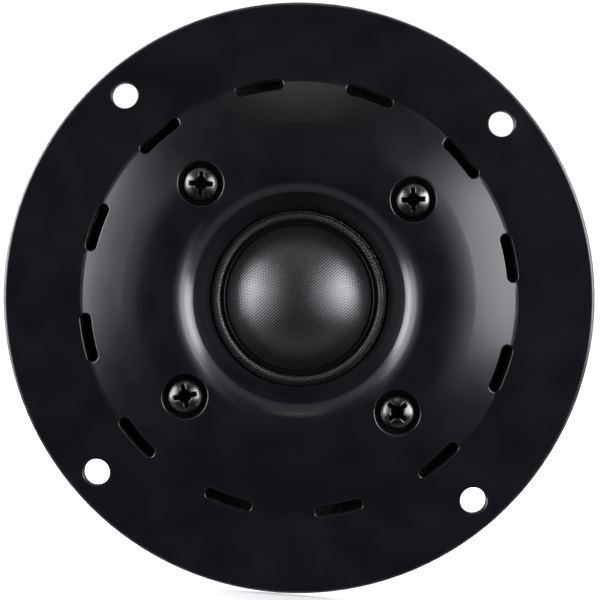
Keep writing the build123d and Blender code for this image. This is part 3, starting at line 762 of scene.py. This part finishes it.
dome_low, dome_high = (Vector(corner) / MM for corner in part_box("dome"))
brim_radius = dome_high.x
dome_apex = -dome_low.y
brim_rear = -dome_high.y
cloth_thickness = 0.25
brim_front = brim_rear + cloth_thickness
bowl_radius = 12.75
dome_rise = dome_apex - brim_front
dome_arc = (bowl_radius**2 + dome_rise**2) / (2 * dome_rise)
dome_centre = dome_apex - dome_arc
inner_arc = dome_arc - cloth_thickness
rim_turn = atan2(bowl_radius, brim_front - dome_centre)
arc_steps = 22
axis_gap = 0.004
outside = arc((0, dome_centre), dome_arc, 0, rim_turn, arc_steps)
under_reach = sqrt(inner_arc**2 - (brim_rear - dome_centre) ** 2)
under_turn = atan2(under_reach, brim_rear - dome_centre)
inside = arc((0, dome_centre), inner_arc, under_turn, 0, arc_steps)
outside[0] = (axis_gap, outside[0][1])
inside[-1] = (axis_gap, inside[-1][1])
dome_cloth = coated_cloth(
    "dome_cloth",
    depth=0.055 * MM,
    roughness=(0.17, 0.21),
    low=(0.0016, 0.0016, 0.002),
    high=(0.01, 0.01, 0.0116),
)
brim_edge = [(brim_radius - 0.03, brim_front), (brim_radius, brim_front - 0.06), (brim_radius, brim_rear)]
dome = turn_profile("cloth_dome", outside + brim_edge + inside, 160)
give(dome, dome_cloth, "diaphragm", "dome", slot="dome_fabric")

# The brim and the surround's margin take a matt, nearly black silk: painted shade for the valley between
# dome and roll and for the gap at the margin
shaded_brim_cloth, tree, shader, place = start_material("brim_shade_cloth", Specular_IOR_Level=0.06)
weave = use_group(tree, weave_group, place, Thread=thread_pitch, Turn=thread_turn)
painted_valley_shade = tint(tree, weave.outputs["Gap"], (0.004, 0.004, 0.0048), (0.0016, 0.0016, 0.0016))
paint(tree, shader, painted_valley_shade, spread(tree, weave.outputs["Gap"], 0, 1, 0.7, 0.95))
bump(tree, shader, weave.outputs["Height"], 0.04 * MM, 0.8)
second_finish_between(dome, shaded_brim_cloth, bowl_radius + 0.02, brim_radius + 1)

glue_line, tree, shader, place = start_material("glue_line", IOR=1.79, Coat_Weight=1.0, Coat_Roughness=0.1)
grain = use_group(tree, grain_group, place, Size=0.3 * MM)
resin = tint(tree, grain.outputs["Fine"], (0.002, 0.002, 0.0025), (0.006, 0.006, 0.007))
paint(tree, shader, resin, over_noise(tree, grain.outputs["Mottle"], 0.16, 0.34))
bump(tree, shader, grain.outputs["Fine"], 0.01 * MM, 0.5)
glue_radius = 13.2
glue_half_width = 0.08
glue_steps = 8
glue_root = brim_front - 0.1
glue_crown = arc((glue_radius, brim_front), glue_half_width, -pi / 2, pi / 2, glue_steps)
glue_inner = (glue_radius - glue_half_width, glue_root)
glue_outer = (glue_radius + glue_half_width, glue_root)
glue = turn_profile("brim_glue_bead", [glue_inner] + glue_crown + [glue_outer], 160)
give(glue, glue_line, "diaphragm")

roll_outer = 0.75
roll_centre = brim_radius + roll_outer
margin_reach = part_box("surround")[1][0] / MM
surround_rear = -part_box("surround")[1][1] / MM
roll_steps = 14
over_roll = arc((roll_centre, surround_rear), roll_outer, -pi / 2, pi / 2, roll_steps)
roll_inner = roll_outer - cloth_thickness
under_roll = arc((roll_centre, surround_rear), roll_inner, pi / 2, -pi / 2, roll_steps)
roll_cloth = coated_cloth(
    "surround_cloth",
    depth=0.07 * MM,
    roughness=(0.18, 0.23),
    low=(0.001, 0.001, 0.0013),
    high=(0.008, 0.008, 0.0095),
)
surround = turn_profile(
    "cloth_surround",
    over_roll[:-2]
    + [
        (roll_centre + roll_outer * 0.985, surround_rear + cloth_thickness + 0.06),
        (roll_centre + roll_outer + 0.08, surround_rear + cloth_thickness),
        (margin_reach, surround_rear + cloth_thickness),
        (margin_reach, surround_rear),
        (roll_centre + roll_outer - 0.02, surround_rear),
    ]
    + under_roll,
    192,
)
surround.data.materials.clear()
surround.data.materials.append(roll_cloth)
# Painted shade: the surround's margin takes the near-black brim cloth
second_finish_between(surround, shaded_brim_cloth, roll_centre + roll_outer + 0.05, margin_reach + 1)
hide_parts("surround")
moving_edge = brim_radius * MM
held_edge = (roll_centre + roll_outer) * MM
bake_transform(surround, "motor", "diaphragm", start=(held_edge, 0, 0), end=(moving_edge, 0, 0))
for vert, share in zip(surround.data.vertices, surround.data.attributes["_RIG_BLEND"].data):
    reach = sqrt(vert.co.x**2 + vert.co.z**2)
    along = min(max((held_edge - reach) / (held_edge - moving_edge), 0), 1)
    share.value = along * along * (3 - 2 * along)


# -----------------------------------------------------------------------------
# Leads: two ends of the coil's own wire, brought forward through the gap, out through the grooves over
# the top plate, round its edge and back to the rivets, where a bead of solder holds each.
# -----------------------------------------------------------------------------
solder, tree, shader, place = start_material("solder", Metallic=1.0)
grain = use_group(tree, grain_group, place, Size=0.15 * MM)
frosted = tint(tree, over_noise(tree, grain.outputs["Fine"], 0, 1), (0.55, 0.55, 0.57), (0.74, 0.74, 0.75))
paint(tree, shader, frosted, over_noise(tree, grain.outputs["Mottle"], 0.2, 0.38))
bump(tree, shader, grain.outputs["Fine"], 0.01 * MM, 0.5)

solder_reach = 0.85
solder_rise = 0.42
rivet_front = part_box("terminal_rivets")[1][2]
solder_bite = 0.05
for end in ("positive", "negative"):
    finish_node("lead_wire_" + end, lead_enamel)
    wire_low, wire_high = (Vector(corner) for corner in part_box("lead_wire_" + end))
    deselect_all()
    bpy.ops.mesh.primitive_uv_sphere_add(
        segments=32, ring_count=16, radius=solder_reach * MM,
        location=((wire_low.x + wire_high.x) / 2, wire_high.y, rivet_front),
    )
    drop = bpy.context.object
    drop.name = "solder_" + end
    bpy.ops.object.mode_set(mode="EDIT")
    bpy.ops.mesh.select_all(action="SELECT")
    base = (0, 0, rivet_front - solder_bite * MM)
    bpy.ops.mesh.bisect(plane_co=base, plane_no=(0, 0, -1), clear_outer=True, use_fill=True)
    bpy.ops.mesh.select_all(action="SELECT")
    bpy.ops.transform.resize(value=(1, 1, solder_rise / solder_reach), center_override=drop.location)
    bpy.ops.object.mode_set(mode="OBJECT")
    bpy.ops.object.transform_apply(location=True)
    bpy.ops.object.shade_smooth_by_angle(angle=radians(40))
    roughen(drop, 0.6 * MM, 0.06 * MM)
    give(drop, solder, "motor")


# -----------------------------------------------------------------------------
# Faceplate: one glass-filled nylon moulding, flange, horn ring, throat and rear collar, with a satin
# orange-peel skin. The throat's edge is rubbed a little brighter, and the flange's edge is coloured
# lighter, partly wear and partly a painted highlight for the light caught on its edge.
# -----------------------------------------------------------------------------
flange_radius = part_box("faceplate")[1][0] / MM
satin_black, tree, shader, place = start_material("satin_black_moulding", IOR=1.79)
grain = use_group(tree, grain_group, place, Size=0.2 * MM)
rim = use_group(tree, wear_group, place, Radius=(flange_radius - 0.2) * MM, Height=4.3 * MM, Width=0.35 * MM)
throat_rim = use_group(tree, wear_group, place, Radius=15.85 * MM, Height=1.45 * MM, Width=0.16 * MM)
dust = use_group(tree, dust_group, place, Amount=0.03)
clouds = over_noise(tree, grain.outputs["Mottle"], 0, 1)
skin = tint(tree, clouds, (0.0048, 0.0048, 0.0072), (0.0076, 0.0076, 0.0104))
# The lighter flange edge is partly rubbed wear and partly a painted highlight on the edge
worn = maths(tree, "MAXIMUM", rim.outputs["Mask"], throat_rim.outputs["Mask"])
rubbed = tint(tree, worn, skin, (0.1, 0.1, 0.11))
dulled = tint(tree, dust.outputs["Mask"], rubbed, (0.2, 0.19, 0.18))
tree.links.new(dulled, shader.inputs["Base Color"])
satin = over_noise(tree, grain.outputs["Mottle"], 0.22, 0.26)
grazed = put(tree, "LayerWeight", {"Blend": 0.5}).outputs["Facing"]
hazed = maths(tree, "ADD", satin, spread(tree, grazed, 0.42, 0.7, 0.0, 0.4, True))
tree.links.new(hazed, shader.inputs["Roughness"])
bump(tree, shader, grain.outputs["Fine"], 0.003 * MM, 0.5)
finish_node("faceplate", satin_black)


# -----------------------------------------------------------------------------
# Slot foam: a strip of open-cell foam laid round the motor behind the slots, stopped short either side
# of the terminal board. Its cut face is ragged.
# -----------------------------------------------------------------------------
foam_low, foam_high = (Vector(corner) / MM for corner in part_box("slot_foam"))
foam_inner = 35.4
foam_half_gap = radians(8.6)
open_foam, tree, shader, place = start_material("open_cell_foam", Sheen_Weight=0.1)
grain = use_group(tree, grain_group, place, Size=0.35 * MM)
cells = put(tree, "TexVoronoi", {"Vector": place, "Scale": 1700.0}, feature="DISTANCE_TO_EDGE")
struts = spread(tree, cells.outputs["Distance"], 0.02, 0.14, 1, 0)
dark = tint(tree, struts, (0.012, 0.012, 0.013), (0.055, 0.055, 0.058))
paint(tree, shader, dark, over_noise(tree, grain.outputs["Mottle"], 0.7, 0.95))
bump(tree, shader, struts, 0.15 * MM, 1.0)
foam = turn_profile(
    "foam_strip",
    [
        (foam_inner, -foam_high.y),
        (foam_high.x - 0.25, -foam_high.y),
        (foam_high.x, -foam_high.y + 0.4),
        (foam_high.x, -foam_low.y - 0.5),
        (foam_high.x - 0.5, -foam_low.y - 0.12),
        (foam_high.x - 1.2, -foam_low.y - 0.1),
        (foam_high.x - 2.0, -foam_low.y - 0.12),
        (foam_high.x - 2.7, -foam_low.y - 0.1),
        (foam_inner + 0.2, -foam_low.y - 0.3),
    ],
    420,
    sweep=2 * pi - 2 * foam_half_gap,
    start=-pi / 2 + foam_half_gap,
)
roughen(foam, 0.8 * MM, 0.16 * MM)
give(foam, open_foam, "motor", "slot_foam", slot="black_foam")


# -----------------------------------------------------------------------------
# Flange gasket: closed-cell foam, die-cut with clearance round the collar and the four mounting holes,
# and stuck to the back of the flange.
# -----------------------------------------------------------------------------
seal_low, seal_high = (Vector(corner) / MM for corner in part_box("flange_gasket"))
collar_outer = 40.5
collar_clearance = 1.05
mounting_circle = 47.0
flange_gasket = foam_washer(
    "foam_gasket_flange",
    inner=collar_outer + collar_clearance,
    outer=seal_high.x,
    rear=-seal_high.y,
    front=-seal_low.y,
    holes=on_circle(mounting_circle, 4, 45),
    hole_radius=2.7,
    steps=192,
)
give(flange_gasket, foam_sheet, "motor", "flange_gasket", slot="black_foam")


# -----------------------------------------------------------------------------
# Studio: a pale floor just under the flange, which glows white and whose glow is painted dimmer close to
# the object, a wide soft light at each side with a brighter core and a faint skirt, a small warm one above,
# and two behind that show the motor.
# -----------------------------------------------------------------------------
floor_height = cad_box[0][2] - 0.4 * MM
deselect_all()
bpy.ops.mesh.primitive_grid_add(x_subdivisions=8, y_subdivisions=8, size=12.0, location=(0, 0, floor_height))
floor = bpy.context.object
floor.name = "studio_floor"
bpy.ops.object.transform_apply(location=True)
pale = bpy.data.materials.new("pale_floor")
pale.use_nodes = True
tree = pale.node_tree
tree.nodes.remove(tree.nodes["Principled BSDF"])
place = put(tree, "TexCoord").outputs["Object"]
away = put(tree, "VectorMath", {0: place}, operation="LENGTH").outputs["Value"]
paper_grain = put(tree, "TexNoise", {"Vector": place, "Scale": 900.0, "Detail": 3.0}).outputs[0]
# Painted light: the floor glows white, and its glow is painted dimmer close to the object
brighter = spread(tree, away, 0.06, 0.4, 0.42, 1.15, True)
glow = put(tree, "Emission", {"Color": (1, 1, 1, 1), "Strength": brighter})
lit = put(tree, "BsdfDiffuse", {"Color": tint(tree, paper_grain, (0.78, 0.78, 0.78), (0.84, 0.84, 0.84))})
seen = put(tree, "AddShader", {0: glow.outputs[0], 1: lit.outputs[0]})
tree.links.new(seen.outputs[0], tree.nodes["Material Output"].inputs["Surface"])
floor.data.materials.append(pale)
floor.visible_shadow = False
floor.visible_glossy = False
floor.visible_diffuse = False

world = bpy.data.worlds.new("studio")
bpy.context.scene.world = world
world.use_nodes = True
tree = world.node_tree
tree.nodes.remove(tree.nodes["Background"])
white = put(tree, "Background", {"Color": (1, 1, 1, 1), "Strength": 1.05})
heading = put(tree, "SeparateXYZ", {0: put(tree, "TexCoord").outputs["Generated"]})
# Nearly dark straight ahead, brighter to the sides, above and behind, and a faint glow from below
aside = spread(tree, heading.outputs[1], -0.8, -0.35, 0.015, 0.38, True)
past = spread(tree, heading.outputs[1], 0.0, 0.6, 1.0, 1.5, True)
overhead = spread(tree, heading.outputs[2], -0.5, 0.5, 0.45, 0.75, True)
beside = spread(tree, maths(tree, "ABSOLUTE", heading.outputs[0]), 0.35, 0.85, 0.0, 0.7, True)
upper = maths(tree, "MULTIPLY", maths(tree, "MULTIPLY", aside, past), maths(tree, "ADD", overhead, beside))
downward = spread(tree, heading.outputs[2], -0.3, -0.02, 1.0, 0.0, True)
before = spread(tree, heading.outputs[1], -0.62, -0.45, 0.02, 0.25, True)
behind = spread(tree, heading.outputs[1], 0.0, 0.5, 0.0, 0.5, True)
lower = maths(tree, "MULTIPLY", maths(tree, "ADD", before, behind), downward)
around = maths(tree, "MULTIPLY_ADD", upper, maths(tree, "SUBTRACT", 1.0, downward), lower)
gloom = put(tree, "Background", {"Color": (0.92, 0.94, 1.0, 1), "Strength": around})
seen_directly = put(tree, "LightPath").outputs["Is Camera Ray"]
chosen = put(tree, "MixShader", {0: seen_directly, 1: gloom.outputs[0], 2: white.outputs[0]})
tree.links.new(chosen.outputs[0], tree.nodes["World Output"].inputs["Surface"])

view_distance = 0.5905
view_roll = radians(4.3)
view_right = Vector((cos(view_roll), 0, sin(view_roll)))
view_up = Vector((-sin(view_roll), 0, cos(view_roll)))
light_distance = 1.0


def soft_light(name, off_axis, turn, wide, tall, power, colour=(0.93, 0.945, 1.0)):
    """A rectangular soft light that looks at the dome. off_axis is its angle from straight ahead, and
    turn is its place round the object, from the right and up, in degrees."""
    lamp = bpy.data.lights.new(name, "AREA")
    lamp.shape = "RECTANGLE"
    lamp.size = wide
    lamp.size_y = tall
    lamp.energy = power
    lamp.color = colour
    item = bpy.data.objects.new(name, lamp)
    bpy.context.scene.collection.objects.link(item)
    sideways = view_right * cos(radians(turn)) + view_up * sin(radians(turn))
    outwards = sideways * sin(radians(off_axis)) + Vector((0, -1, 0)) * cos(radians(off_axis))
    item.location = outwards * light_distance
    across = (sideways - outwards * sideways.dot(outwards)).normalized()
    facing = Matrix((across, outwards.cross(across), outwards)).transposed()
    item.rotation_euler = facing.to_euler()
    item.visible_camera = False


soft_light("softbox_right", off_axis=57, turn=10, wide=0.85, tall=0.62, power=5.75)
soft_light("softbox_right_core", off_axis=68, turn=10, wide=0.5, tall=0.6, power=3.2)
soft_light("softbox_right_skirt", off_axis=32, turn=14, wide=0.45, tall=0.6, power=0.4)
soft_light("softbox_left", off_axis=62, turn=168, wide=0.7, tall=0.75, power=5.5)
soft_light("softbox_left_core", off_axis=80, turn=174, wide=0.5, tall=0.8, power=5.5)
soft_light("softbox_left_skirt", off_axis=35, turn=163, wide=0.45, tall=0.5, power=0.3)
warm = (1.0, 0.9, 0.75)
soft_light("softbox_above", off_axis=48, turn=90, wide=0.3, tall=0.3, power=0.16, colour=warm)
soft_light("softbox_rear_left", off_axis=125, turn=150, wide=0.6, tall=0.6, power=18.0)
soft_light("softbox_rear_right", off_axis=130, turn=40, wide=0.5, tall=0.5, power=12.0)

lens = bpy.data.cameras.new("portrait_lens")
lens.type = "PERSP"
lens.lens = 200
lens.sensor_width = 36
lens.clip_start = 0.01
lens.clip_end = 50
camera = bpy.data.objects.new("camera", lens)
bpy.context.scene.collection.objects.link(camera)
aim = view_right * 0.16 * MM - view_up * 0.37 * MM
camera.location = aim + Vector((0, -view_distance, 0))
camera.rotation_euler = (Matrix.Rotation(pi / 2, 3, "X") @ Matrix.Rotation(view_roll, 3, "Z")).to_euler()
bpy.context.scene.camera = camera
bpy.context.scene.view_settings.view_transform = "Standard"
